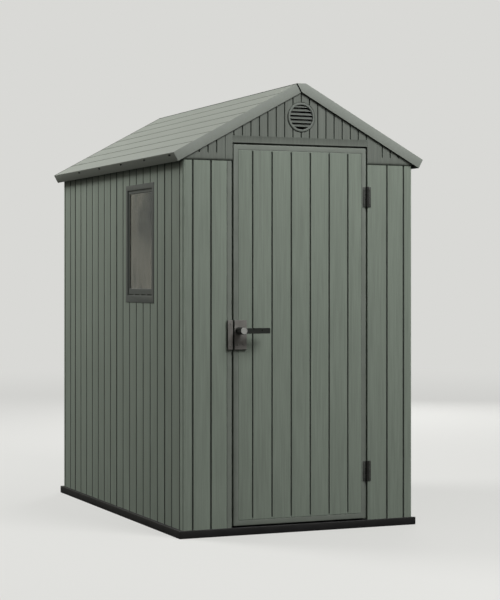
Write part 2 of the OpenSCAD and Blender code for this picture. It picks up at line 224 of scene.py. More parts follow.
class ShedOpenings(bpy.types.PropertyGroup):
    """Sizes of the window and the gable vents."""
    bead_side: length("Side bead", "Width of the bead in front of the pane at its sides", 18)
    bead_sill: length("Sill bead", "Width of that bead at the sill", 33)
    bead_top: length("Top bead", "Width of that bead at the top", 17)
    drain_slots: count("Sill slots", "Drain slots in the sill bead", 4)
    drain_slot_w: length("Sill slot width", "Width of a drain slot in the sill bead", 58)
    louvres: count("Louvres", "Louvres in each vent", 6)
    louvre_pitch: length("Louvre pitch", "Spacing of a vent's louvres", 17.6)
    louvre_w: length("Louvre width", "Width of a louvre's blade", 14)
    louvre_t: length("Louvre thickness", "Thickness of a louvre's blade", 3)
    louvre_rise: length("Louvre rise", "How far the louvres sit above the vent's middle", 5.3)
    louvre_tilt: FloatProperty(name="Louvre tilt", description="Slope of a louvre's blade, front edge low",
                               default=math.radians(52), subtype="ANGLE")


class ShedColours(bpy.types.PropertyGroup):
    """Colours of the shed's finishes."""
    wall: finish_colour("Walls", "Grey green of the wall boards", "#767F74")
    # Painted highlight: the corner strips are coloured lighter than the walls to stand for the light their
    # rounding catches; they are also smooth, with no grain
    corner: finish_colour("Corners", "Lighter grey green of the smooth strips at the corners", "#879185")
    door: finish_colour("Door", "Grey green of the door's boards", "#767F74")
    # Painted shade: the gables are coloured darker than the walls to stand for the shade under the roof's
    # overhang
    gable: finish_colour("Gables", "Grey green of the gables", "#646962")
    roof: finish_colour("Roof", "Light grey green of the roof", "#7E837C")
    # Painted shade: the inside of the plank lines is coloured darker to stand for the shade in them
    roof_line_shade: finish_colour("Roof lines", "Darker grey green inside the roof's plank lines", "#4E534B")
    rim: finish_colour("Eave rim", "Grey green of the roof's rim along the eaves", "#7C8077")
    # Painted shade: the inside of the lines between boards, the door field's top rounding and the strike
    # post's chamfer are coloured dark to stand for the shade in them
    line: finish_colour("Board lines", "Dark green grey inside the lines between boards", "#565C55")
    # Painted shade: the roof's seam, the rim's foot, the rear verge strip and the drain slots in the roof and
    # the window's sill are coloured near black to stand for the shade there
    shade: finish_colour("Dark edges", "Near black of the roof's seam, rear verge and drain slots", "#2C2F2B")
    trim: finish_colour("Trim", "Grey of the door's edge frame, post and stops", "#6E746C")
    window: finish_colour("Window frame", "Dark grey of the window frame", "#505450")
    vent: finish_colour("Vents", "Grey of the gable vents", "#646963")
    # Painted shade: the louvres and the ring's bore are coloured darker than the vent's ring to stand for the
    # shade inside it
    louvre: finish_colour("Louvres", "Darker grey of the vents' louvres", "#525651")
    floor: finish_colour("Floor", "Near black of the floor panels", "#1B1B1C")
    lock: finish_colour("Lock", "Dark warm grey of the lock's plates", "#6A6864")
    black: finish_colour("Lever", "Black of the lever", "#222523")
    hinge: finish_colour("Hinges", "Dark grey of the hinges' leaves", "#3A3C39")
    pin: finish_colour("Hinge pins", "Near black of the hinges' knuckles and pins", "#0B0C0B")
    cap: finish_colour("Lever cap", "Light grey of the lever's cap", "#989894")
    zinc: finish_colour("Zinc", "Grey of the ridge beam", "#8A8D8E")


class ShedStudio(bpy.types.PropertyGroup):
    """Light and ground of the studio."""
    fill: FloatProperty(name="Fill", description="Strength of the even light from all around",
                        default=0.3, min=0)
    front: FloatProperty(name="Front light", description="Power of the soft light high in front",
                         default=306, min=0, unit="POWER")
    left: FloatProperty(name="Left light", description="Power of the soft light high on the left",
                        default=370, min=0, unit="POWER")
    rear: FloatProperty(name="Rear light", description="Power of the soft light behind on the right",
                        default=240, min=0, unit="POWER")
    ground: finish_colour("Ground", "Pale grey of the studio floor", "#D9D9D6")
    bounce: finish_colour("Bounce", "Ground colour that lights the shed from below", "#4E4E4C")


# ---- Mesh tools ----

def block(lo, hi, bm=None):
    """Adds a box between two corners to a mesh, or to a new one."""
    bm = bmesh.new() if bm is None else bm
    lo, hi = Vector(lo), Vector(hi)
    place = Matrix.Translation((lo + hi) / 2) @ Matrix.Diagonal((*(hi - lo), 1))
    bmesh.ops.create_cube(bm, size=1, matrix=place)
    return bm


def prism(outline, run, bm=None):
    """Adds a solid drawn out from a flat outline along run to a mesh, or to a new one."""
    bm = bmesh.new() if bm is None else bm
    face = bm.faces.new([bm.verts.new(point) for point in outline])
    made = bmesh.ops.extrude_face_region(bm, geom=[face])["geom"]
    bmesh.ops.translate(bm, verts=[g for g in made if isinstance(g, bmesh.types.BMVert)], vec=run)
    bmesh.ops.recalc_face_normals(bm, faces=bm.faces[:])
    return bm


def rod(centre, direction, radius, run, segments=48):
    """Makes a round solid that starts at centre and runs along a direction."""
    bm = bmesh.new()
    turn = Z.rotation_difference(direction).to_matrix().to_4x4()
    place = Matrix.Translation(Vector(centre) + direction * run / 2) @ turn
    bmesh.ops.create_cone(bm, cap_ends=True, segments=segments, radius1=radius, radius2=radius,
                          depth=run, matrix=place)
    return bm


def lathe(profile, centre, direction, steps=48):
    """Spins an outline of (radius, distance along direction) points about an axis through centre."""
    bm = bmesh.new()
    turn = Z.rotation_difference(direction).to_matrix()
    points = [bm.verts.new(Vector(centre) + turn @ Vector((radius, 0, along))) for radius, along in profile]
    closed = profile[0] == profile[-1]
    if closed:
        bm.verts.remove(points.pop())
    edges = [bm.edges.new(pair) for pair in zip(points, points[1:])]
    if closed:
        edges.append(bm.edges.new((points[-1], points[0])))
    bmesh.ops.spin(bm, geom=points + edges, cent=Vector(centre), axis=direction, angle=2 * math.pi,
                   steps=steps, use_merge=True)
    bmesh.ops.remove_doubles(bm, verts=bm.verts[:], dist=TINY)
    bmesh.ops.recalc_face_normals(bm, faces=bm.faces[:])
    return bm


def slice_at(bm, point, normal):
    """Cuts the mesh along a plane and keeps both sides."""
    bmesh.ops.bisect_plane(bm, geom=bm.verts[:] + bm.edges[:] + bm.faces[:], dist=TINY,
                           plane_co=point, plane_no=normal)


def trim_off(bm, point, normal):
    """Cuts away what lies beyond a plane and closes the cut."""
    cut = bmesh.ops.bisect_plane(bm, geom=bm.verts[:] + bm.edges[:] + bm.faces[:], dist=TINY,
                                 plane_co=point, plane_no=normal, clear_outer=True)["geom_cut"]
    bmesh.ops.holes_fill(bm, edges=[g for g in cut if isinstance(g, bmesh.types.BMEdge)], sides=0)


def depth_at(gap, profile):
    """Depth of a groove at a distance from its middle, from (distance, depth) pairs, lip first."""
    for (far, shallow), (close, deep) in zip(profile, profile[1:]):
        if gap > close:
            share = min(max((far - gap) / (far - close), 0), 1)
            return shallow + (deep - shallow) * share
    return profile[-1][1]


def groove_profile(width, floor, depth, lip_w=0.0, lip_drop=0.0):
    """Section of a groove as (distance from its middle, depth) pairs, from the flat face inwards."""
    # A narrow flat strip beside the lip keeps its shading off the board.
    strip = 1.5 * MM
    rounded = [(width / 2 + lip_w + strip, 0.0), (width / 2 + lip_w, 0.0)] if lip_w else []
    return rounded + [(width / 2, lip_drop), (floor / 2, depth)]


def sink(bm, origin, out, across, places, profile, ends=None, taper=4 * MM):
    """Sinks straight grooves into the flat face through origin, at places counted along across."""
    origin, along = Vector(origin), out.cross(across)
    for place in places:
        for offset, _ in profile:
            for side in (-1, 1):
                slice_at(bm, origin + across * (place + side * offset), across)
    if ends:
        for end, step in ((ends[0], 0), (ends[0], taper), (ends[1], 0), (ends[1], -taper)):
            slice_at(bm, origin + along * (end + step), along)
    deepest, mouth = profile[-1][1], profile[-2][0]
    for vert in bm.verts:
        place = vert.co - origin
        sunk = -place.dot(out)
        if not -TINY < sunk < deepest + TINY:
            continue
        if ends and not ends[0] + taper - TINY < place.dot(along) < ends[1] - taper + TINY:
            continue
        gap = min(abs(place.dot(across) - p) for p in places)
        wanted = depth_at(gap, profile)
        if wanted > sunk:
            bmesh.ops.translate(bm, verts=[vert], vec=out * (sunk - wanted))
    # Faces deeper than 0.3 of the groove are inside it, and not on its lip; they take the dark line finish,
    # which is painted shade.
    for face in bm.faces:
        place = face.calc_center_median() - origin
        inside = deepest * 0.3 < -place.dot(out) < deepest + TINY
        if inside and abs(face.normal.dot(along)) < FACING:
            if min(abs(place.dot(across) - p) for p in places) < mouth:
                face.material_index = LINE


def near(first, second):
    """Whether two places are the same but for rounding."""
    return abs(first - second) < TINY


def within(point, lo, hi):
    """Whether a point lies in a box or on its faces."""
    return all(least - TINY < value < most + TINY for least, value, most in zip(lo, point, hi))


def rounded_front(normal):
    """Whether a face lies on a rounding beside the front, and not on the front or a side."""
    return -0.8 < normal.y < -0.1


def edges_where(bm, test):
    """Edges whose two ends both pass a test on their position."""
    return [edge for edge in bm.edges if all(test(vert.co) for vert in edge.verts)]


def creases(bm, degrees=30):
    """Edges where two faces meet at more than an angle."""
    sharp = math.radians(degrees)
    return [edge for edge in bm.edges if edge.is_manifold and edge.calc_face_angle(0) > sharp]


def soften(bm, edges, width, segments=3):
    """Rounds edges over with a bevel."""
    bmesh.ops.bevel(bm, geom=edges, offset=width, offset_type="OFFSET", segments=segments, profile=0.5,
                    affect="EDGES", clamp_overlap=True, material=-1)


def soften_where(bm, test, width, segments=3):
    """Rounds over the edges whose two ends both pass a test on their position."""
    soften(bm, edges_where(bm, test), width, segments)


def paint(bm, index, test):
    """Gives a finish to the faces whose centre and normal pass a test."""
    bm.normal_update()
    for face in bm.faces:
        if test(face.calc_center_median(), face.normal):
            face.material_index = index


def combine(bm, tool, operation="DIFFERENCE"):
    """Cuts a mesh with another, joins them or keeps what they share, and returns the new mesh."""
    pair = []
    for mesh_data in (bm, tool):
        bmesh.ops.recalc_face_normals(mesh_data, faces=mesh_data.faces[:])
        mesh = bpy.data.meshes.new("combine")
        mesh_data.to_mesh(mesh)
        mesh_data.free()
        pair.append(bpy.data.objects.new("combine", mesh))
        bpy.context.scene.collection.objects.link(pair[-1])
    modifier = pair[0].modifiers.new("combine", "BOOLEAN")
    modifier.operation, modifier.solver, modifier.object = operation, "EXACT", pair[1]
    result = bmesh.new()
    result.from_object(pair[0], bpy.context.evaluated_depsgraph_get())
    for obj in pair:
        mesh = obj.data
        bpy.data.objects.remove(obj)
        bpy.data.meshes.remove(mesh)
    return result


def new_piece(name, bm, body, node, slot, others=(), smooth=32):
    """Closes a mesh into a piece that rides on a body and stands for a CAD node.

    Edges sharper than smooth, in degrees, stay crisp.
    """
    bmesh.ops.remove_doubles(bm, verts=bm.verts[:], dist=TINY)
    bmesh.ops.dissolve_degenerate(bm, dist=TINY, edges=bm.edges[:])
    bmesh.ops.recalc_face_normals(bm, faces=bm.faces[:])
    loose = sum(not edge.is_manifold for edge in bm.edges)
    if loose:
        raise RuntimeError(f"{name} has {loose} open edges")
    for face in bm.faces:
        face.smooth = True
    mesh = bpy.data.meshes.new(name)
    bm.to_mesh(mesh)
    bm.free()
    mesh.set_sharp_from_angle(angle=math.radians(smooth))
    obj = bpy.data.objects.new(name, mesh)
    bpy.context.scene.collection.objects.link(obj)
    for finish in (slot, *others):
        mesh.materials.append(FINISHES[finish])
    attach(obj, body)
    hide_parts(node)


def refinish(node, slot):
    """Gives a CAD solid that stays its finish."""
    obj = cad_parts[node]
    obj.data.materials.clear()
    obj.data.materials.append(FINISHES[slot])


# ---- Finishes ----

def add_node(tree, kind, values=None, links=None):
    """Adds a node, sets its inputs and settings, and links inputs to other nodes' outputs."""
    node = tree.nodes.new(kind)
    for key, value in (values or {}).items():
        if isinstance(key, int) or key in node.inputs:
            node.inputs[key].default_value = value
        else:
            setattr(node, key, value)
    for key, source in (links or {}).items():
        tree.links.new(source, node.inputs[key])
    return node


def new_material(name, sockets):
    """Makes a material whose shader has the given sockets set, and gives it Object coordinates."""
    material = bpy.data.materials.new(name)
    material.use_nodes = True
    tree = material.node_tree
    shader = tree.nodes["Principled BSDF"]
    for key, value in sockets.items():
        shader.inputs[key].default_value = value
    return material, tree, shader, add_node(tree, "ShaderNodeTexCoord").outputs["Object"]


def noise(tree, coords, size, detail=2.0, roughness=0.5):
    """Noise whose patches measure size, in metres, along X, Y and Z."""
    placed = add_node(tree, "ShaderNodeMapping", {"Scale": [1 / s for s in size]}, {"Vector": coords})
    return add_node(tree, "ShaderNodeTexNoise", {"Scale": 1.0, "Detail": detail, "Roughness": roughness},
                    {"Vector": placed.outputs["Vector"]}).outputs["Fac"]


def spread_out(tree, factor, least, most, values=None):
    """Spreads a factor between two of its values over 0 to 1, or over the given output values."""
    return add_node(tree, "ShaderNodeMapRange", {"From Min": least, "From Max": most, **(values or {})},
                    {"Value": factor}).outputs["Result"]


def stretched(across, run, along):
    """Patch size across the grain and along it, for an axis of the shed."""
    size = [across] * 3
    size[along] = run
    return size


def blend_noise(tree, first, second, share):
    """Adds two noises, the second with the given share."""
    part = add_node(tree, "ShaderNodeMath", {"operation": "MULTIPLY", 1: 1 - share}, {0: first})
    return add_node(tree, "ShaderNodeMath", {"operation": "MULTIPLY_ADD", 1: share},
                    {0: second, 2: part.outputs[0]}).outputs[0]


def tinted(tree, shader, base, factor, spread):
    """Varies a base colour from darker to lighter with a factor around one half."""
    dark = [c * (1 - spread) for c in base[:3]] + [1]
    light = [c * (1 + spread) for c in base[:3]] + [1]
    mixed = add_node(tree, "ShaderNodeMix", {"data_type": "RGBA", 6: dark, 7: light},
                     {0: spread_out(tree, factor, 0.3, 0.7)})
    tree.links.new(mixed.outputs[2], shader.inputs["Base Color"])


def bumped(tree, shader, height, depth, strength=1.0):
    """Raises the surface by a height pattern to a real depth."""
    bump = add_node(tree, "ShaderNodeBump", {"Strength": strength, "Distance": depth}, {"Height": height})
    tree.links.new(bump.outputs["Normal"], shader.inputs["Normal"])


def rough_between(tree, shader, factor, smoothest, roughest):
    """Varies the roughness with a factor around one half."""
    spanned = spread_out(tree, factor, 0.3, 0.7, {"To Min": smoothest, "To Max": roughest})
    tree.links.new(spanned, shader.inputs["Roughness"])


def grained_polypropylene(name, base, along, spread=0.16):
    """Polypropylene moulded against a wood-grained tool: matt, with streaks that run with the boards."""
    material, tree, shader, coords = new_material(name, {"IOR": 1.49, "Specular IOR Level": 0.3})
    # Embossed streaks are 9 mm wide and 260 mm long, with finer 2.5 mm fibres between them.
    streaks = noise(tree, coords, stretched(9 * MM, 260 * MM, along), 4, 0.62)
    fibres = noise(tree, coords, stretched(2.5 * MM, 50 * MM, along), 2)
    # Slow changes of tone come from the way the melt flowed, 60 mm across.
    flow = noise(tree, coords, stretched(60 * MM, 600 * MM, along), 2)
    tinted(tree, shader, base, blend_noise(tree, streaks, flow, 0.3), spread)
    rough_between(tree, shader, streaks, 0.5, 0.64)
    bumped(tree, shader, blend_noise(tree, streaks, fibres, 0.4), 0.7 * MM)
    return material


def smooth_polypropylene(name, base, spread=0.06):
    """Polypropylene or ABS moulded in a spark-eroded tool: even and satin, with a fine pebble."""
    material, tree, shader, coords = new_material(name, {"IOR": 1.49, "Specular IOR Level": 0.3})
    # The real pebble is finer than 1 mm, and is drawn at 2 mm so that it shows.
    pebble = noise(tree, coords, [2 * MM] * 3, 2)
    flow = noise(tree, coords, [60 * MM] * 3, 3)
    tinted(tree, shader, base, flow, spread)
    rough_between(tree, shader, flow, 0.46, 0.58)
    bumped(tree, shader, pebble, 0.12 * MM)
    return material


def satin_skin(name, base, roughness=0.42):
    """Powder-coated metal, blackened steel or moulded nylon: a satin skin with slight waves."""
    material, tree, shader, coords = new_material(name, {"IOR": 1.5, "Metallic": 0.0})
    # The waves are 1.5 mm long, as in the orange peel of a powder coat.
    peel = noise(tree, coords, [1.5 * MM] * 3, 1)
    patches = noise(tree, coords, [25 * MM] * 3, 2)
    tinted(tree, shader, base, patches, 0.12)
    rough_between(tree, shader, patches, roughness - 0.05, roughness + 0.08)
    bumped(tree, shader, peel, 0.06 * MM)
    return material


def galvanised_steel(name, base):
    """Hot-dip galvanised steel: dull zinc with spangles about 9 mm across."""
    material, tree, shader, coords = new_material(name, {"Metallic": 0.9})
    spangle = add_node(tree, "ShaderNodeTexVoronoi", {"Scale": 1 / (9 * MM)}, {"Vector": coords})
    parts = add_node(tree, "ShaderNodeSeparateColor", links={"Color": spangle.outputs["Color"]})
    tone = parts.outputs["Red"]
    tinted(tree, shader, base, tone, 0.14)
    rough_between(tree, shader, tone, 0.36, 0.55)
    return material


def clear_acrylic(name):
    """Extruded acrylic sheet: clear, glossy and very slightly wavy."""
    material, tree, shader, coords = new_material(name, {"IOR": 1.49, "Transmission Weight": 1.0})
    waves = noise(tree, coords, [120 * MM] * 3, 1)
    tinted(tree, shader, colour("#DDE2DF"), waves, 0.04)
    rough_between(tree, shader, waves, 0.02, 0.06)
    bumped(tree, shader, waves, 0.4 * MM)
    return material


def make_finishes():
    """Makes every finish of the shed, by the name of its material slot."""
    tone = bpy.context.scene.shed_colours
    upright, lengthwise = 2, 1
    return {
        "wall_green": grained_polypropylene("grained_polypropylene_wall", tone.wall, upright),
        "corner_highlight_green": smooth_polypropylene("satin_polypropylene_corner_highlight", tone.corner),
        "door_green": grained_polypropylene("grained_polypropylene_door", tone.door, upright),
        "gable_green": grained_polypropylene("grained_polypropylene_gable_shaded", tone.gable, upright),
        "roof_plastic": grained_polypropylene("grained_polypropylene_roof", tone.roof, lengthwise, 0.07),
        "line": smooth_polypropylene("shaded_polypropylene_line", tone.line),
        "shade": smooth_polypropylene("shaded_polypropylene_edge", tone.shade),
        "roof_line_shade": grained_polypropylene("grained_polypropylene_roof_line", tone.roof_line_shade, lengthwise,
                                           0.07),
        "rim": grained_polypropylene("grained_polypropylene_rim", tone.rim, lengthwise, 0.07),
        "trim_grey": smooth_polypropylene("satin_polypropylene_trim", tone.trim),
        "window_grey": smooth_polypropylene("satin_polypropylene_window", tone.window),
        "vent_grey": smooth_polypropylene("satin_polypropylene_vent", tone.vent),
        "louvre_shade_grey": smooth_polypropylene("satin_polypropylene_louvre_shade", tone.louvre),
        "floor_black": smooth_polypropylene("pebbled_polypropylene_floor", tone.floor, 0.15),
        "pane_clear": clear_acrylic("clear_acrylic"),
        "beam_steel": galvanised_steel("galvanised_steel", tone.zinc),
        "hinge_black": satin_skin("powder_coated_steel_hinge", tone.hinge),
        "pin_steel": satin_skin("blackened_steel_pin", tone.pin, 0.6),
        "lock_grey": satin_skin("powder_coated_zinc_lock", tone.lock, 0.4),
        "lever_black": satin_skin("moulded_nylon_lever", tone.black, 0.3),
        "cap_grey": smooth_polypropylene("moulded_abs_cap", tone.cap, 0.04),
    }


# ---- Floor ----

def floor_panel(node, side):
    """Builds a floor panel with a tread of shallow lines between the walls."""
    margin, pitch, rows = 10 * MM, 100 * MM, 9
    tread = groove_profile(8 * MM, 4 * MM, 2 * MM)
    lo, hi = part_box(node)
    bm = block(lo, hi)
    soften(bm, [e for e in bm.edges if any(abs(v.co.y) > TINY for v in e.verts)], 3 * MM)
    end = side * (INNER_Y - margin - 2 * MM)
    sink(bm, Z * hi.z, Z, X, centred(11, pitch), tread, sorted((end, -side)))
    sink(bm, Z * hi.z, Z, Y, [side * k * pitch for k in range(rows)], tread,
         (margin - INNER_X, INNER_X - margin))
    new_piece(node + "_tread", bm, "shell", node, "floor_black")


# ---- Walls ----

def wall_profile(boards, width, floor, depth):
    """Section of a line between two wall boards."""
    return groove_profile(width, floor, depth, boards.lip_w, boards.lip_drop)


def board_lines(bm, out, outer, inner, across, places, joints):
    """Sinks the lines between boards into both faces of a wall, and half lines at its joints."""
    boards = bpy.context.scene.shed_boards
    sink(bm, out * outer, out, across, places,
         wall_profile(boards, boards.groove_w, boards.groove_floor, boards.groove_depth))
    if joints:
        sink(bm, out * outer, out, across, joints,
             wall_profile(boards, boards.joint_w, boards.joint_floor, boards.joint_depth))
    sink(bm, out * inner, -out, across, places + joints, groove_profile(8 * MM, 3 * MM, boards.inner_depth))


def corner_panel(node):
    """Builds one L-shaped corner panel."""
    boards = bpy.context.scene.shed_boards
    lo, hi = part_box(node)
    sx, sy = sign(lo.x), sign(lo.y)
    edge_x, edge_y = (lo.x if sx > 0 else hi.x), (lo.y if sy > 0 else hi.y)
    outline = [Vector((x, y, WALL_Z)) for x, y in (
        (sx * HALF_W, sy * HALF_D), (edge_x, sy * HALF_D), (edge_x, sy * INNER_Y),
        (sx * INNER_X, sy * INNER_Y), (sx * INNER_X, edge_y), (sx * HALF_W, edge_y))]
    bm = prism(outline, Z * (hi.z + WALL_T - WALL_Z))
    trim_off(bm, Z * GABLE_TOP, Vector((sx * math.sin(PITCH), 0, math.cos(PITCH))))
    # The gable takes the end wall's place above its lower edge, 0.2 mm clear of the side wall.
    ends = sorted((sy * (INNER_Y - 0.2 * MM), sy * (HALF_D + WALL_T)))
    bm = combine(bm, block((-2 * HALF_W, ends[0], GABLE_Z), (2 * HALF_W, ends[1], hi.z + 2 * WALL_T)))
    soften_where(bm, lambda p: near(p.x, sx * HALF_W) and near(p.y, sy * HALF_D), boards.corner_r,
                 CORNER_STEPS)
    if sy < 0:
        soften_where(bm, lambda p: near(p.x, edge_x) and near(p.y, -HALF_D), 2 * MM)
        places = [boards.side_groove_first - HALF_D, boards.side_groove_second - HALF_D]
    else:
        places = [HALF_D - boards.rear_groove_first, HALF_D - boards.rear_groove_second]
    end_places = [sx * boards.end_groove_outer, sx * boards.end_groove_inner]
    board_lines(bm, Y * sy, HALF_D, INNER_Y, X, end_places, [edge_x] if sy > 0 else [])
    board_lines(bm, X * sx, HALF_W, INNER_X, Y, places, [edge_y])
    # The strip runs from the first side line over the rounding, up to where it faces the end; it is smooth,
    # and coloured lighter as a painted highlight.
    highlight_x, highlight_y = HALF_W - boards.corner_r, max(abs(place) for place in places) + boards.groove_w / 2
    paint(bm, CORNER, lambda centre, normal: highlight_x < sx * centre.x < HALF_W + TINY
          and sy * centre.y > highlight_y and sx * normal.x > 0.3)
    new_piece(node + "_boards", bm, "shell", node, "wall_green", ("line", "corner_highlight_green"))


def wide_panel(node, out, hole=None):
    """Builds one wide wall panel of even boards, with a hole where a window goes."""
    boards = bpy.context.scene.shed_boards
    lo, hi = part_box(node)
    if out.y:
        bm, across, outer, inner = block(lo, hi), X, HALF_D, INNER_Y
    else:
        outline = [Vector((out.x * x, lo.y, z)) for x, z in (
            (HALF_W, WALL_Z), (INNER_X, WALL_Z), (INNER_X, under_roof(INNER_X)),
            (HALF_W, under_roof(HALF_W)))]
        bm, across, outer, inner = prism(outline, Y * (hi.y - lo.y)), Y, HALF_W, INNER_X
    start, end = lo.dot(across), hi.dot(across)
    pitch = (end - start) / boards.panel_boards
    places = [start + k * pitch for k in range(1, boards.panel_boards)]
    board_lines(bm, out, outer, inner, across, places, [start, end])
    if hole:
        bm = combine(bm, block(*hole))
    new_piece(node + "_boards", bm, "shell", node, "wall_green", ("line",))


# ---- Gables ----

def gable_plate(sy):
    """Builds a gable's plate from its lower edge to the roof, its outer corners rounded."""
    boards = bpy.context.scene.shed_boards
    outline = [Vector((x, sy * GABLE_Y, z)) for x, z in (
        (-HALF_W, GABLE_Z), (HALF_W, GABLE_Z), (HALF_W, under_roof(HALF_W)), (0, GABLE_TOP),
        (-HALF_W, under_roof(HALF_W)))]
    bm = prism(outline, Y * (sy * (INNER_Y - GABLE_Y)))
    soften_where(bm, lambda p: near(abs(p.x), HALF_W) and near(p.y, sy * GABLE_Y), boards.corner_r,
                 CORNER_STEPS)
    return bm


def gable_lines(bm, sy, steps, from_z, profile=None):
    """Sinks a gable's lines at whole steps of its pitch, from a height up to the roof."""
    boards = bpy.context.scene.shed_boards
    width = boards.gable_groove_w
    profile = profile or groove_profile(width, width / 2, boards.gable_groove_depth, 2 * MM, 0.4 * MM)
    out, across = Y * sy, X * sy
    rise = out.cross(across).dot(Z)
    ends = sorted((rise * from_z, rise * (GABLE_TOP + 1)))
    sink(bm, out * GABLE_Y, out, across, [sy * k * boards.gable_pitch for k in steps], profile, ends)


def finish_gable(bm, sy, node):
    """Cuts the vent's hole and the shadow line around its ring, and makes the gable a piece."""
    front, segments = Vector((0, sy * (GABLE_Y + CLEAR), VENT_Z)), 64
    bm = combine(bm, rod(front, -Y * sy, VENT_HOLE_R, 40 * MM, segments))
    inner, outer, deep = VENT_R - 1 * MM, VENT_R + 3.5 * MM, CLEAR + 3 * MM
    ring = [(inner, 0), (outer, 0), (outer - 1 * MM, deep), (inner, deep), (inner, 0)]
    bm = combine(bm, lathe(ring, front, -Y * sy, segments))
    new_piece(node + "_boards", bm, "shell", node, "gable_green", ("line",))


def front_gable():
    """Builds the front gable over the door."""
    boards = bpy.context.scene.shed_boards
    band_z, face_y = OPENING_Z + boards.lintel_band, -GABLE_Y
    # Lines to each side of the middle: over the opening, and out to the wall
    over_door, outermost = 8, 12
    bm = gable_plate(-1)
    gable_lines(bm, -1, range(-over_door, over_door + 1), band_z)
    gable_lines(bm, -1, [k for k in range(-outermost, outermost + 1) if abs(k) > over_door + 1],
                GABLE_Z + boards.gable_band)
    gable_lines(bm, -1, (-over_door - 1,), 0, groove_profile(3.5 * MM, 1 * MM, 2 * MM))
    # The lintel over the door is set back a little, behind a short slope at its top and sides.
    notch_x, slope, set_back = DOOR_HIGH.x + 5.5 * MM, 3 * MM, 1.2 * MM
    slice_at(bm, Z * (band_z - slope), Z)
    for x in (-notch_x - slope, -notch_x, notch_x, notch_x + slope):
        slice_at(bm, X * x, X)
    lintel = [v for v in bm.verts if near(v.co.y, face_y) and abs(v.co.x) < notch_x + TINY
              and v.co.z < band_z - slope + TINY]
    bmesh.ops.translate(bm, verts=lintel, vec=Y * set_back)
    bm = combine(bm, block((-notch_x, face_y - WALL_T, GABLE_Z - WALL_T),
                           (notch_x, -INNER_Y + WALL_T, OPENING_Z)))
    finish_gable(bm, -1, "front_gable")


def rear_gable():
    """Builds the rear gable."""
    bm = gable_plate(1)
    gable_lines(bm, 1, range(-12, 13), GABLE_Z + bpy.context.scene.shed_boards.gable_band)
    finish_gable(bm, 1, "rear_gable")


def vent(node, sy):
    """Builds a round vent: a rounded ring with a sleeve, and sloping louvres."""
    sizes = bpy.context.scene.shed_openings
    out, centre = Y * sy, Vector((0, sy * GABLE_Y, VENT_Z))
    proud, back = -low("front_vent").y - GABLE_Y, INNER_Y - GABLE_Y
    bore, segments = VENT_R - 10.5 * MM, 72
    bm = lathe([(bore, back), (bore, proud - 1.5 * MM), (bore + 0.6 * MM, proud - 0.4 * MM),
                (bore + 1.8 * MM, proud), (VENT_R - 2.2 * MM, proud), (VENT_R - 0.7 * MM, proud - 0.6 * MM),
                (VENT_R, proud - 2 * MM), (VENT_R, 0), (VENT_HOLE_R, 0), (VENT_HOLE_R, back), (bore, back)],
               centre, out, segments)
    half = Vector((VENT_R, sizes.louvre_w / 2, sizes.louvre_t / 2))
    for step in centred(sizes.louvres, sizes.louvre_pitch):
        slat = block(-half, half)
        soften(slat, slat.edges[:], 0.8 * MM, 2)
        place = (Matrix.Translation(centre + out * (proud - half.y) + Z * (step + sizes.louvre_rise))
                 @ Matrix.Rotation(-sy * sizes.louvre_tilt, 4, "X"))
        bmesh.ops.transform(slat, matrix=place, verts=slat.verts[:])
        # Each louvre ends just inside the ring, all along its edge.
        inside = rod(centre + out * proud, -out, bore + 1 * MM, 2 * WALL_T, segments)
        bm = combine(bm, combine(slat, inside, "INTERSECT"), "UNION")
    # The louvres and the ring's bore take the darker louvre grey as painted shade.
    paint(bm, LINE, lambda face_centre, normal: (face_centre - centre).cross(Y).length < bore - 0.5 * MM)
    new_piece(node + "_louvres", bm, "shell", node, "vent_grey", ("louvre_shade_grey",))


# ---- Roof ----

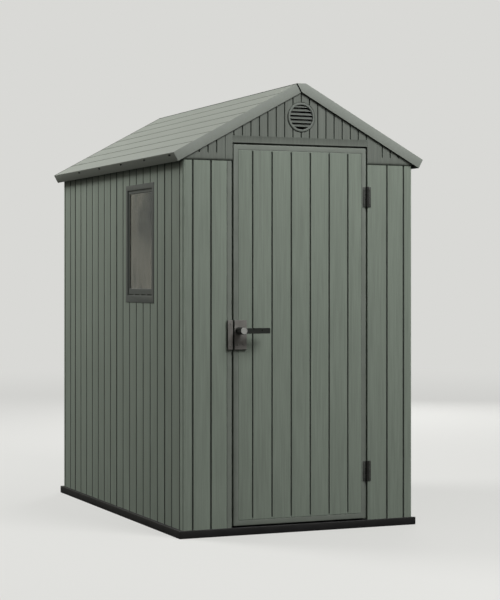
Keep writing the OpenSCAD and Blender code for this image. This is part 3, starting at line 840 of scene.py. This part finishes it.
def roof_panel(node, side):
    """Builds a roof panel: a plate of planks with a rim turned down around it."""
    roof = bpy.context.scene.shed_roof
    cos, sin = math.cos(PITCH), math.sin(PITCH)
    seam_gap = Vector((-1, 0, -ROOF_RISE)) * (roof.seam_gap if side < 0 else 0)
    lap = Vector((SEAM_X, 0, PEAK_Z + SEAM_X * ROOF_RISE)) + seam_gap
    seam_foot = Vector((0, 0, PEAK_Z - RIM_H / cos)) + seam_gap
    # Only the right panel has the flat ridge, which reaches over to the seam.
    ridge = [(PEAK_Z - RIDGE_Z) / ROOF_RISE, SEAM_X] if side > 0 else []
    outline = [slope_point(side, 0, 0), *(Vector((x, 0, RIDGE_Z)) for x in ridge), lap, seam_foot,
               slope_point(side, 0, RIM_H)]
    bm = prism([point - Y * ROOF_Y for point in outline], Y * 2 * ROOF_Y)
    seam_line = (lap - seam_foot).normalized()

    def on_seam(point):
        flat = Vector((point.x, 0, point.z))
        on_ridge = flat.x < TINY and flat.z > RIDGE_Z - TINY
        return on_ridge or (flat - seam_foot).cross(seam_line).length < TINY

    soften(bm, [e for e in bm.edges if not all(on_seam(v.co) for v in e.verts)], roof.arris)
    out, across, eave = Vector((side * sin, 0, cos)), Vector((-side * cos, 0, sin)), slope_point(side, 0, 0)
    places = [roof.plank_first + k * roof.plank_pitch for k in range(roof.plank_lines)]
    end = ROOF_Y - roof.arris - 1.5 * MM
    sink(bm, eave, out, across, places,
         groove_profile(roof.plank_groove_w, roof.plank_groove_w / 3, roof.plank_groove_depth),
         (-end, end), 6 * MM)
    # A strip along the rear verge is painted near black as shade.
    verge = ROOF_Y - roof.verge_shade_w
    slice_at(bm, Y * verge, Y)
    paint(bm, FASCIA, lambda centre, normal: normal.dot(-across) > FACING)
    # The rim's foot, the plate's underside, the seam's faces and the verge strip's top take near black
    # painted shade.
    paint(bm, SHADE, lambda centre, normal: normal.dot(out) < -FACING
          or on_seam(centre) and abs(normal.x) > 0.5 or centre.y > verge and normal.dot(out) > FACING)
    slots, slot_deep = bmesh.new(), 4 * MM
    top, foot = roof.slot_top, roof.slot_top + roof.slot_h
    for k in range(roof.slots):
        start = Y * (roof.slot_first + k * roof.slot_pitch - HALF_D - roof.slot_w / 2)
        corners = [slope_point(side, up, deep) + start for up, deep in (
            (-CLEAR, top), (slot_deep, top), (slot_deep, foot), (-CLEAR, foot))]
        prism(corners, Y * roof.slot_w, slots)
    bm = combine(bm, slots)
    # The drain slots' faces take near black painted shade.
    paint(bm, SHADE, lambda centre, normal: TINY < (centre - eave).dot(across) < slot_deep + TINY
          and top - TINY < (eave - centre).dot(out) < foot + TINY)
    # The hollow under the plate leaves the rim standing all round.
    rim_top, rim_foot = slope_point(1, roof.rim_t, roof.roof_t), slope_point(1, roof.rim_t, RIM_H + WALL_T)
    mirrored = [Vector((-p.x, 0, p.z)) for p in (rim_top, rim_foot)]
    tent = [rim_foot, rim_top, Z * (PEAK_Z - roof.roof_t / cos), *mirrored]
    inner = ROOF_Y - roof.rim_t
    bm = combine(bm, prism([point - Y * inner for point in tent], Y * 2 * inner))
    new_piece(node + "_planks", bm, "shell", node, "roof_plastic", ("roof_line_shade", "rim", "shade"), 28)


# ---- Door and its surround ----

def strike_post():
    """Builds the post that the door closes against, with a chamfer painted dark as a shadow line where it
    meets the wall.
    """
    lo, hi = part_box("strike_post")
    shadow_w = 3 * MM
    bm = block(lo, hi)
    soften_where(bm, lambda p: near(p.y, lo.y) and near(p.x, hi.x), 2.5 * MM)
    soften_where(bm, lambda p: near(p.y, lo.y) and near(p.x, lo.x), shadow_w)
    # The chamfer on the wall's side takes the board lines' dark finish as painted shade.
    paint(bm, LINE, lambda centre, normal: centre.x < lo.x + shadow_w and rounded_front(normal))
    new_piece("strike_post_cover", bm, "shell", "strike_post", "trim_grey", ("line",))


def stop_strip(node, outline, run):
    """Builds a stop drawn out along run: a bar behind the wall with a lip behind the door."""
    bm = prism([Vector(point) for point in outline], run)
    soften(bm, creases(bm), 1.2 * MM)
    new_piece(node + "_strip", bm, "shell", node, "trim_grey")


def side_stop(node, side):
    """Builds the stop behind one side of the opening."""
    lo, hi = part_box(node)
    lap, seat = (lo.x, hi.x) if side > 0 else (hi.x, lo.x)
    edge, front = side * OPENING_X, hi.y - STOP_LIP
    stop_strip(node, [(x, y, lo.z) for x, y in (
        (edge, lo.y), (seat, lo.y), (seat, hi.y), (lap, hi.y), (lap, front), (edge, front))],
        Z * (hi.z - lo.z))


def head_stop():
    """Builds the stop over the opening."""
    lo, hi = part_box("head_stop")
    front = hi.y - STOP_LIP
    stop_strip("head_stop", [(lo.x, y, z) for y, z in (
        (lo.y, OPENING_Z), (lo.y, hi.z), (hi.y, hi.z), (hi.y, lo.z), (front, lo.z), (front, OPENING_Z))],
        X * (hi.x - lo.x))


def door_field():
    """Builds the door's field of boards."""
    boards = bpy.context.scene.shed_boards
    bm = block(FIELD_LOW, FIELD_HIGH)
    soften(bm, bm.edges[:], 2.5 * MM)
    # The rounding along the field's top edge takes the board lines' dark finish as a painted shadow under the
    # edge frame.
    paint(bm, LINE, lambda centre, normal: rounded_front(normal) and normal.z > 0.1)
    places, width, taper = centred(boards.door_lines, boards.door_pitch), boards.door_groove_w, 5 * MM
    ends = (-FIELD_HIGH.z + 4 * MM, -FIELD_LOW.z - 5 * MM)
    sink(bm, Y * FIELD_LOW.y, -Y, X, places, wall_profile(boards, width, width / 2, boards.groove_depth),
         sorted(-e for e in ends), taper)
    inner = groove_profile(6 * MM, 3 * MM, boards.inner_depth)
    sink(bm, Y * FIELD_HIGH.y, Y, X, places, inner, ends, taper)
    new_piece("door_boards", bm, "door", "door_panel", "door_green", ("line",))


def door_frame():
    """Builds the door's edge frame."""
    bm = block(DOOR_LOW, DOOR_HIGH)
    soften(bm, bm.edges[:], 3 * MM)
    through = Y * WALL_T
    bm = combine(bm, block(FIELD_LOW - through, FIELD_HIGH + through))
    inner = edges_where(bm, lambda p: within(p, FIELD_LOW - through, FIELD_HIGH + through))
    soften(bm, [e for e in inner if near(e.verts[0].co.y, e.verts[1].co.y)], 1.5 * MM)
    new_piece("door_edge_rail", bm, "door", "door_edge_frame", "trim_grey")


# ---- Window ----

def pane_boxes():
    """Corners of the pane, and of the part of it that its frame and trim leave free."""
    lo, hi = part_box("window_pane")
    lap = Vector((0, PANE_LAP, PANE_LAP))
    return lo, hi, lo + lap, hi - lap


def window_frame():
    """Builds the window's outer frame, with its beads in front of the pane and a seat behind it."""
    sizes = bpy.context.scene.shed_openings
    lo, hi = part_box("window_frame")
    pane_lo, pane_hi, light_lo, light_hi = pane_boxes()
    lap, play, through = WINDOW_LAP, Vector((0, 0.3 * MM, 0.3 * MM)), X * WALL_T
    # The front of the bead, which has a thickness of 3 mm
    bead_x = pane_lo.x - 3 * MM
    bm = block(lo, Vector((-HALF_W, hi.y, hi.z)))
    soften_where(bm, lambda p: near(p.x, lo.x), 1.2 * MM)
    bm = combine(bm, block(lo + X * 1 * MM + lap, hi - lap), "UNION")
    bm = combine(bm, block(light_lo - through, Vector((bead_x, light_hi.y, light_hi.z))))
    soften_where(bm, lambda p: near(p.x, lo.x) and within(p, light_lo - through, light_hi), 2.5 * MM, 2)
    glass_lo = light_lo + Vector((0, sizes.bead_side, sizes.bead_sill))
    glass_hi = light_hi - Vector((0, sizes.bead_side, sizes.bead_top))
    bm = combine(bm, block(glass_lo - through, glass_hi + through))
    soften_where(bm, lambda p: near(p.x, bead_x) and within(p, glass_lo - through, glass_hi), 2 * MM, 1)
    slots, slot_back, slot_foot, slot_top = bmesh.new(), pane_lo.x - 0.8 * MM, 1.5 * MM, 7 * MM
    for k in range(sizes.drain_slots):
        y = light_lo.y + (light_hi.y - light_lo.y) * (k + 0.5) / sizes.drain_slots
        block((bead_x - CLEAR, y - sizes.drain_slot_w / 2, light_lo.z + slot_foot),
              (slot_back, y + sizes.drain_slot_w / 2, light_lo.z + slot_top), slots)
    bm = combine(bm, slots)
    # The drain slots' faces take the near black finish as painted shade.
    paint(bm, LINE, lambda centre, normal: bead_x + TINY < centre.x < slot_back + TINY
          and light_lo.z < centre.z < light_lo.z + slot_top + 1 * MM and light_lo.y < centre.y < light_hi.y)
    bm = combine(bm, block(pane_lo - play, pane_hi + play + through))
    new_piece("window_outer_frame", bm, "shell", "window_frame", "window_grey", ("shade",))


def window_trim():
    """Builds the trim around the window inside, with the sleeve that holds the pane."""
    lo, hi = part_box("window_trim")
    pane_lo, pane_hi, light_lo, light_hi = pane_boxes()
    bm = block(Vector((-INNER_X, lo.y, lo.z)), hi)
    soften_where(bm, lambda p: near(p.x, hi.x), 2 * MM)
    sleeve = block(Vector((lo.x, pane_lo.y, pane_lo.z)), Vector((1 * MM - INNER_X, pane_hi.y, pane_hi.z)))
    bm = combine(bm, sleeve, "UNION")
    bm = combine(bm, block(light_lo - X * WALL_T, light_hi + X * 3 * WALL_T))
    new_piece("window_inner_trim", bm, "shell", "window_trim", "window_grey")


# ---- Hinges ----

def screw(bm, centre, direction, radius):
    """Joins a round screw head with a cross recess to a plate."""
    head = lathe([(0, -1 * MM), (radius, -1 * MM), (radius, 0.5 * MM), (radius * 0.8, 1.3 * MM),
                  (radius * 0.4, 1.7 * MM), (0, 1.8 * MM)], centre, direction, 20)
    side = direction.orthogonal().normalized()
    other = direction.cross(side)
    floor, reach, half_slot = centre + direction * 0.9 * MM, radius * 0.55, 0.5 * MM
    for long_way, short_way in ((side, other), (other, side)):
        corners = [floor + long_way * a * reach + short_way * b * half_slot
                   for a, b in ((-1, -1), (1, -1), (1, 1), (-1, 1))]
        head = combine(head, prism(corners, direction * 3 * MM))
    return combine(bm, head, "UNION")


def hinge_leaf(hinge, kind, body, side, places):
    """Builds a hinge leaf: a plate with rounded corners, its knuckles and three screws."""
    node = f"{hinge}_{kind}_leaf"
    lo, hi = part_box(node)
    foot, top = low(hinge + "_hinge_pin").z, high(hinge + "_frame_leaf").z
    knuckle_r, gap, leaf_t, rim = -HALF_D - HINGE_Y, 0.5 * MM, 3 * MM, 0.6 * MM
    knuckle_h = (top - foot - 2 * gap) / 3
    edge, tip = HINGE_X + side * (knuckle_r + gap), hi.x if side > 0 else lo.x
    flat = sorted((edge, tip))
    bm = block((flat[0], -HALF_D - leaf_t, foot), (flat[1], -HALF_D, top))
    soften_where(bm, lambda p: near(p.x, tip) and (near(p.z, foot) or near(p.z, top)), 5 * MM, 4)
    soften(bm, [e for e in creases(bm) if all(v.co.y < -HALF_D - TINY for v in e.verts)], rim, 2)
    reach = sorted((HINGE_X, edge + side * 1 * MM))
    for k in places:
        z = foot + k * (knuckle_h + gap)
        # The web from the plate to the knuckle is a little thinner and shorter than both.
        bm = combine(bm, block((reach[0], -HALF_D - leaf_t + 0.2 * MM, z + 0.3 * MM),
                               (reach[1], -HALF_D - 0.2 * MM, z + knuckle_h - 0.3 * MM)), "UNION")
        tube = lathe([(PIN_BORE_R, 0), (knuckle_r - rim, 0), (knuckle_r, rim), (knuckle_r, knuckle_h - rim),
                      (knuckle_r - rim, knuckle_h), (PIN_BORE_R, knuckle_h), (PIN_BORE_R, 0)],
                     Vector((HINGE_X, HINGE_Y, z)), Z)
        bm = combine(bm, tube, "UNION")
    for share in (0.16, 0.5, 0.84):
        place = Vector(((edge + tip) / 2, -HALF_D - leaf_t, foot + share * (top - foot)))
        bm = screw(bm, place, -Y, 3.4 * MM)
    paint(bm, LINE, lambda centre, normal: side * (centre.x - edge) < 0)
    new_piece(node + "_plate", bm, body, node, "hinge_black", ("pin_steel",))


def hinge_pin(node):
    """Builds a hinge pin with a domed head."""
    lo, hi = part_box(node)
    head_r, top = (hi.x - lo.x) / 2, hi.z - 2 * MM
    bm = lathe([(0, lo.z), (PIN_R - 0.6 * MM, lo.z), (PIN_R, lo.z + 0.6 * MM), (PIN_R, top),
                (head_r - 0.5 * MM, top), (head_r, top + 0.5 * MM), (head_r * 0.8, hi.z - 0.5 * MM),
                (head_r * 0.4, hi.z - 0.1 * MM), (0, hi.z)], Vector((HINGE_X, HINGE_Y, 0)), Z)
    new_piece(node + "_domed", bm, "shell", node, "pin_steel")


# ---- Lock and lever ----

def lock_plate(node, body, bore=False):
    """Builds one of the lock's two plates with its screws."""
    lo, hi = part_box(node)
    edge_r, middle, inset = 2 * MM, (lo.x + hi.x) / 2, 16 * MM
    bm = block(lo, hi)
    soften_where(bm, lambda p: near(p.y, lo.y), edge_r, 4)
    spots = [(middle, lo.z + inset), (middle, hi.z - inset)]
    if bore:
        bm = combine(bm, rod((HUB_X, lo.y - CLEAR, HUB_Z), Y, SPINDLE_R + 0.08 * MM, 13 * MM))
        spots = [(lo.x + 17 * MM, lo.z + 22 * MM), (hi.x - 17 * MM, lo.z + 22 * MM)]
    for x, z in spots:
        bm = screw(bm, Vector((x, lo.y, z)), -Y, 3.6 * MM)
    paint(bm, LINE, lambda centre, normal: centre.y > lo.y + edge_r - TINY)
    new_piece(node + "_cover", bm, body, node, "lock_grey", ("lever_black",))


def door_lever():
    """Builds the lever: a round hub, its spindle and a flat arm with rounded ends."""
    lo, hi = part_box("door_lever")
    hub_r, run = HUB_X - lo.x, low("lock_case").y - 0.5 * MM - lo.y
    bm = lathe([(0, 0), (hub_r - 1.5 * MM, 0), (hub_r, 1.5 * MM), (hub_r, run - 1 * MM),
                (hub_r - 1 * MM, run), (SPINDLE_R, run), (SPINDLE_R, hi.y - lo.y), (0, hi.y - lo.y)],
               Vector((HUB_X, lo.y, HUB_Z)), Y, 64)
    front, back, half = lo.y + 3 * MM, lo.y + 17 * MM, 12.5 * MM
    arm = block((HUB_X, front, HUB_Z - half), (hi.x, back, HUB_Z + half))
    tip = edges_where(arm, lambda p: near(p.x, hi.x))
    soften(arm, [edge for edge in tip if near(edge.verts[0].co.z, edge.verts[1].co.z)], 5 * MM, 5)
    soften_where(arm, lambda p: near(p.y, front) and near(p.z, HUB_Z - half), 8 * MM, 5)
    soften_where(arm, lambda p: near(p.y, front) and near(p.z, HUB_Z + half), 4 * MM, 4)
    soften_where(arm, lambda p: near(p.y, back)
                 and (p.x > HUB_X + TINY or near(abs(p.z - HUB_Z), half)), 2 * MM)
    new_piece("lever_handle", combine(bm, arm, "UNION"), "lever", "door_lever", "lever_black")


def lever_cap():
    """Builds the round cap on the lever's hub, with a raised rim."""
    lo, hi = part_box("lever_cap")
    radius, thick = (hi.x - lo.x) / 2, hi.y - lo.y
    dish = thick - 0.6 * MM
    bm = lathe([(0, 0), (radius, 0), (radius, thick - 1.4 * MM), (radius - 0.5 * MM, thick - 0.5 * MM),
                (radius - 1.6 * MM, thick), (radius - 3 * MM, thick), (radius - 3.6 * MM, dish), (0, dish)],
               Vector((HUB_X, hi.y, HUB_Z)), -Y, 64)
    new_piece("lever_round_cap", bm, "lever", "lever_cap", "cap_grey")


# ---- Studio ----

def make_camera():
    """Places the camera at head height, in front of the shed and to its left."""
    camera = bpy.data.cameras.new("Camera")
    camera.lens, camera.sensor_width, camera.sensor_fit = 102.06, 36, "AUTO"
    camera.shift_y = -0.0326
    obj = bpy.data.objects.new("Camera", camera)
    obj.location = (-3.274, -7.980, 1.150)
    obj.rotation_euler = (math.pi / 2, 0, math.radians(-23.13))
    bpy.context.scene.collection.objects.link(obj)
    bpy.context.scene.camera = obj


def seen_rays(tree):
    """One for rays that the camera sends, straight or through a clear sheet, and nothing for others."""
    path = add_node(tree, "ShaderNodeLightPath")
    straight = add_node(tree, "ShaderNodeMath", {"operation": "LESS_THAN", 1: 0.5},
                        {0: path.outputs["Diffuse Depth"]})
    clear = add_node(tree, "ShaderNodeMath", {"operation": "MULTIPLY"},
                     {0: path.outputs["Is Transmission Ray"], 1: straight.outputs[0]})
    return add_node(tree, "ShaderNodeMath", {"operation": "MAXIMUM"},
                    {0: path.outputs["Is Camera Ray"], 1: clear.outputs[0]}).outputs[0]


def make_ground():
    """Lays a wide ground that looks pale and keeps the shed's shadow."""
    studio = bpy.context.scene.shed_studio
    bm = bmesh.new()
    bmesh.ops.create_circle(bm, cap_ends=True, segments=96, radius=60)
    mesh = bpy.data.meshes.new("Ground")
    bm.to_mesh(mesh)
    bm.free()
    material = bpy.data.materials.new("studio_ground")
    material.use_nodes = True
    tree = material.node_tree
    tree.nodes.clear()
    dull = add_node(tree, "ShaderNodeBsdfDiffuse", {"Color": studio.bounce})
    pale = add_node(tree, "ShaderNodeBsdfDiffuse", {"Color": studio.ground})
    glow = add_node(tree, "ShaderNodeEmission", {"Color": studio.ground, "Strength": 1.0})
    # The ground fades into the backdrop from 3 m to 14 m away, so that no horizon shows.
    coords = add_node(tree, "ShaderNodeTexCoord").outputs["Object"]
    away = add_node(tree, "ShaderNodeVectorMath", {"operation": "LENGTH"}, {0: coords}).outputs["Value"]
    share = spread_out(tree, away, 3, 14, {"interpolation_type": "SMOOTHSTEP", "To Min": 0.7, "To Max": 1})
    even = add_node(tree, "ShaderNodeMixShader", links={0: share, 1: pale.outputs[0], 2: glow.outputs[0]})
    mixed = add_node(tree, "ShaderNodeMixShader",
                     links={0: seen_rays(tree), 1: dull.outputs[0], 2: even.outputs[0]})
    add_node(tree, "ShaderNodeOutputMaterial", links={"Surface": mixed.outputs[0]})
    mesh.materials.append(material)
    ground = bpy.data.objects.new("Ground", mesh)
    bpy.context.scene.collection.objects.link(ground)


def soft_lamp(name, place, aim, power):
    """Hangs a round soft light 3 m across, aimed at a point."""
    lamp = bpy.data.lights.new(name, "AREA")
    lamp.shape, lamp.size, lamp.energy = "DISK", 3, power
    obj = bpy.data.objects.new(name, lamp)
    obj.location = place
    obj.rotation_euler = (Vector(aim) - obj.location).to_track_quat("-Z", "Y").to_euler()
    bpy.context.scene.collection.objects.link(obj)


def make_light():
    """Lights the studio from high in front, high on the left and behind, with an even fill."""
    studio = bpy.context.scene.shed_studio
    scene = bpy.context.scene
    scene.view_settings.view_transform = "Standard"
    world = bpy.data.worlds.new("Studio")
    world.use_nodes = True
    scene.world = world
    tree = world.node_tree
    tree.nodes.clear()
    fill = add_node(tree, "ShaderNodeBackground", {"Color": (1, 1, 1, 1), "Strength": studio.fill})
    backdrop = add_node(tree, "ShaderNodeBackground", {"Color": studio.ground, "Strength": 1.0})
    # Glosses mirror soft upright patches, about 2 degrees wide, of a dim room.
    toward = add_node(tree, "ShaderNodeTexCoord").outputs["Generated"]
    patches = noise(tree, toward, [0.035, 0.035, 0.09], 4, 0.6)
    dark, light = colour("#2C302B"), colour("#C9C4AE")
    tones = add_node(tree, "ShaderNodeMix", {"data_type": "RGBA", 6: dark, 7: light},
                     {0: spread_out(tree, patches, 0.38, 0.62)})
    room = add_node(tree, "ShaderNodeBackground", {"Strength": 1.0}, {"Color": tones.outputs[2]})
    gloss = add_node(tree, "ShaderNodeLightPath").outputs["Is Glossy Ray"]
    around = add_node(tree, "ShaderNodeMixShader", links={0: gloss, 1: fill.outputs[0], 2: room.outputs[0]})
    mixed = add_node(tree, "ShaderNodeMixShader",
                     links={0: seen_rays(tree), 1: around.outputs[0], 2: backdrop.outputs[0]})
    add_node(tree, "ShaderNodeOutputWorld", links={"Surface": mixed.outputs[0]})
    soft_lamp("Front", (1.5, -4.5, 5.0), (0, -0.9, 1.2), studio.front)
    soft_lamp("Left", (-3.5, 3.0, 5.5), (0, 0.4, 1.2), studio.left)
    soft_lamp("Rear", (4.0, 6.0, 3.0), (0, 0, 1.2), studio.rear)


# ---- Operators, one for each piece or group of like pieces ----

class SHED_OT_stage(bpy.types.Operator):
    """Places the camera, the ground and the lights"""
    bl_idname = "shed.stage"
    bl_label = "Studio"

    def execute(self, context):
        make_camera()
        make_ground()
        make_light()
        return {"FINISHED"}


class SHED_OT_floor(bpy.types.Operator):
    """Builds the two floor panels with their tread pattern"""
    bl_idname = "shed.floor"
    bl_label = "Floor panels"

    def execute(self, context):
        floor_panel("floor_front_panel", -1)
        floor_panel("floor_rear_panel", 1)
        return {"FINISHED"}


class SHED_OT_corners(bpy.types.Operator):
    """Builds the four corner panels"""
    bl_idname = "shed.corners"
    bl_label = "Corner panels"

    def execute(self, context):
        for node in ("front_left_corner", "front_right_corner", "rear_left_corner", "rear_right_corner"):
            corner_panel(node)
        return {"FINISHED"}


class SHED_OT_side_walls(bpy.types.Operator):
    """Builds the four wide side panels, one with a hole for the window"""
    bl_idname = "shed.side_walls"
    bl_label = "Side panels"

    def execute(self, context):
        lo, hi = low("window_frame") + WINDOW_LAP, high("window_frame") - WINDOW_LAP
        wide_panel("left_front_side_panel", -X, (lo - X * WALL_T, hi + X * WALL_T))
        wide_panel("left_rear_side_panel", -X)
        wide_panel("right_front_side_panel", X)
        wide_panel("right_rear_side_panel", X)
        return {"FINISHED"}


class SHED_OT_rear_wall(bpy.types.Operator):
    """Builds the wide panel of the rear wall"""
    bl_idname = "shed.rear_wall"
    bl_label = "Rear panel"

    def execute(self, context):
        wide_panel("rear_wall_panel", Y)
        return {"FINISHED"}


class SHED_OT_gables(bpy.types.Operator):
    """Builds the two gables"""
    bl_idname = "shed.gables"
    bl_label = "Gables"

    def execute(self, context):
        front_gable()
        rear_gable()
        return {"FINISHED"}


class SHED_OT_vents(bpy.types.Operator):
    """Builds the two round vents"""
    bl_idname = "shed.vents"
    bl_label = "Vents"

    def execute(self, context):
        vent("front_vent", -1)
        vent("rear_vent", 1)
        return {"FINISHED"}


class SHED_OT_roof(bpy.types.Operator):
    """Builds the two roof panels and finishes the beam under their ridge"""
    bl_idname = "shed.roof"
    bl_label = "Roof"

    def execute(self, context):
        roof_panel("left_roof_panel", -1)
        roof_panel("right_roof_panel", 1)
        refinish("ridge_beam", "beam_steel")
        return {"FINISHED"}


class SHED_OT_surround(bpy.types.Operator):
    """Builds the post and stops around the door"""
    bl_idname = "shed.surround"
    bl_label = "Door surround"

    def execute(self, context):
        strike_post()
        side_stop("left_door_stop", -1)
        side_stop("right_door_stop", 1)
        head_stop()
        return {"FINISHED"}


class SHED_OT_door(bpy.types.Operator):
    """Builds the door leaf"""
    bl_idname = "shed.door"
    bl_label = "Door"

    def execute(self, context):
        door_field()
        door_frame()
        return {"FINISHED"}


class SHED_OT_window(bpy.types.Operator):
    """Builds the window's frame and trim and finishes its pane"""
    bl_idname = "shed.window"
    bl_label = "Window"

    def execute(self, context):
        window_frame()
        window_trim()
        refinish("window_pane", "pane_clear")
        return {"FINISHED"}


class SHED_OT_hinges(bpy.types.Operator):
    """Builds the two hinges"""
    bl_idname = "shed.hinges"
    bl_label = "Hinges"

    def execute(self, context):
        for hinge in ("upper", "lower"):
            hinge_leaf(hinge, "frame", "shell", 1, (0, 2))
            hinge_leaf(hinge, "door", "door", -1, (1,))
            hinge_pin(hinge + "_hinge_pin")
        return {"FINISHED"}


class SHED_OT_lock(bpy.types.Operator):
    """Builds the lock's plates and its lever"""
    bl_idname = "shed.lock"
    bl_label = "Lock and lever"

    def execute(self, context):
        lock_plate("keep_plate", "shell")
        lock_plate("lock_case", "door", True)
        door_lever()
        lever_cap()
        return {"FINISHED"}


OPERATORS = (SHED_OT_stage, SHED_OT_floor, SHED_OT_corners, SHED_OT_side_walls, SHED_OT_rear_wall,
             SHED_OT_gables, SHED_OT_vents, SHED_OT_roof, SHED_OT_surround, SHED_OT_door, SHED_OT_window,
             SHED_OT_hinges, SHED_OT_lock)


class SHED_PT_panel(bpy.types.Panel):
    """Lists what builds the shed"""
    bl_idname = "SHED_PT_panel"
    bl_label = "Garden shed"
    bl_space_type = "VIEW_3D"
    bl_region_type = "UI"
    bl_category = "Shed"

    def draw(self, context):
        column = self.layout.column(align=True)
        for operator in OPERATORS:
            column.operator(operator.bl_idname)


GROUPS = {"shed_boards": ShedBoards, "shed_roof": ShedRoof, "shed_openings": ShedOpenings,
          "shed_colours": ShedColours, "shed_studio": ShedStudio}
CLASSES = (*GROUPS.values(), *OPERATORS, SHED_PT_panel)


def register():
    """Adds the classes and the groups of sizes to Blender."""
    for cls in CLASSES:
        bpy.utils.register_class(cls)
    for name, group in GROUPS.items():
        setattr(bpy.types.Scene, name, PointerProperty(type=group))


def unregister():
    """Takes them out again."""
    for name in GROUPS:
        delattr(bpy.types.Scene, name)
    for cls in reversed(CLASSES):
        bpy.utils.unregister_class(cls)


def main():
    """Registers the add-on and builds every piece."""
    register()
    FINISHES.update(make_finishes())
    for operator in OPERATORS:
        group, name = operator.bl_idname.split(".")
        getattr(getattr(bpy.ops, group), name)()


if __name__ == "__main__":
    main()
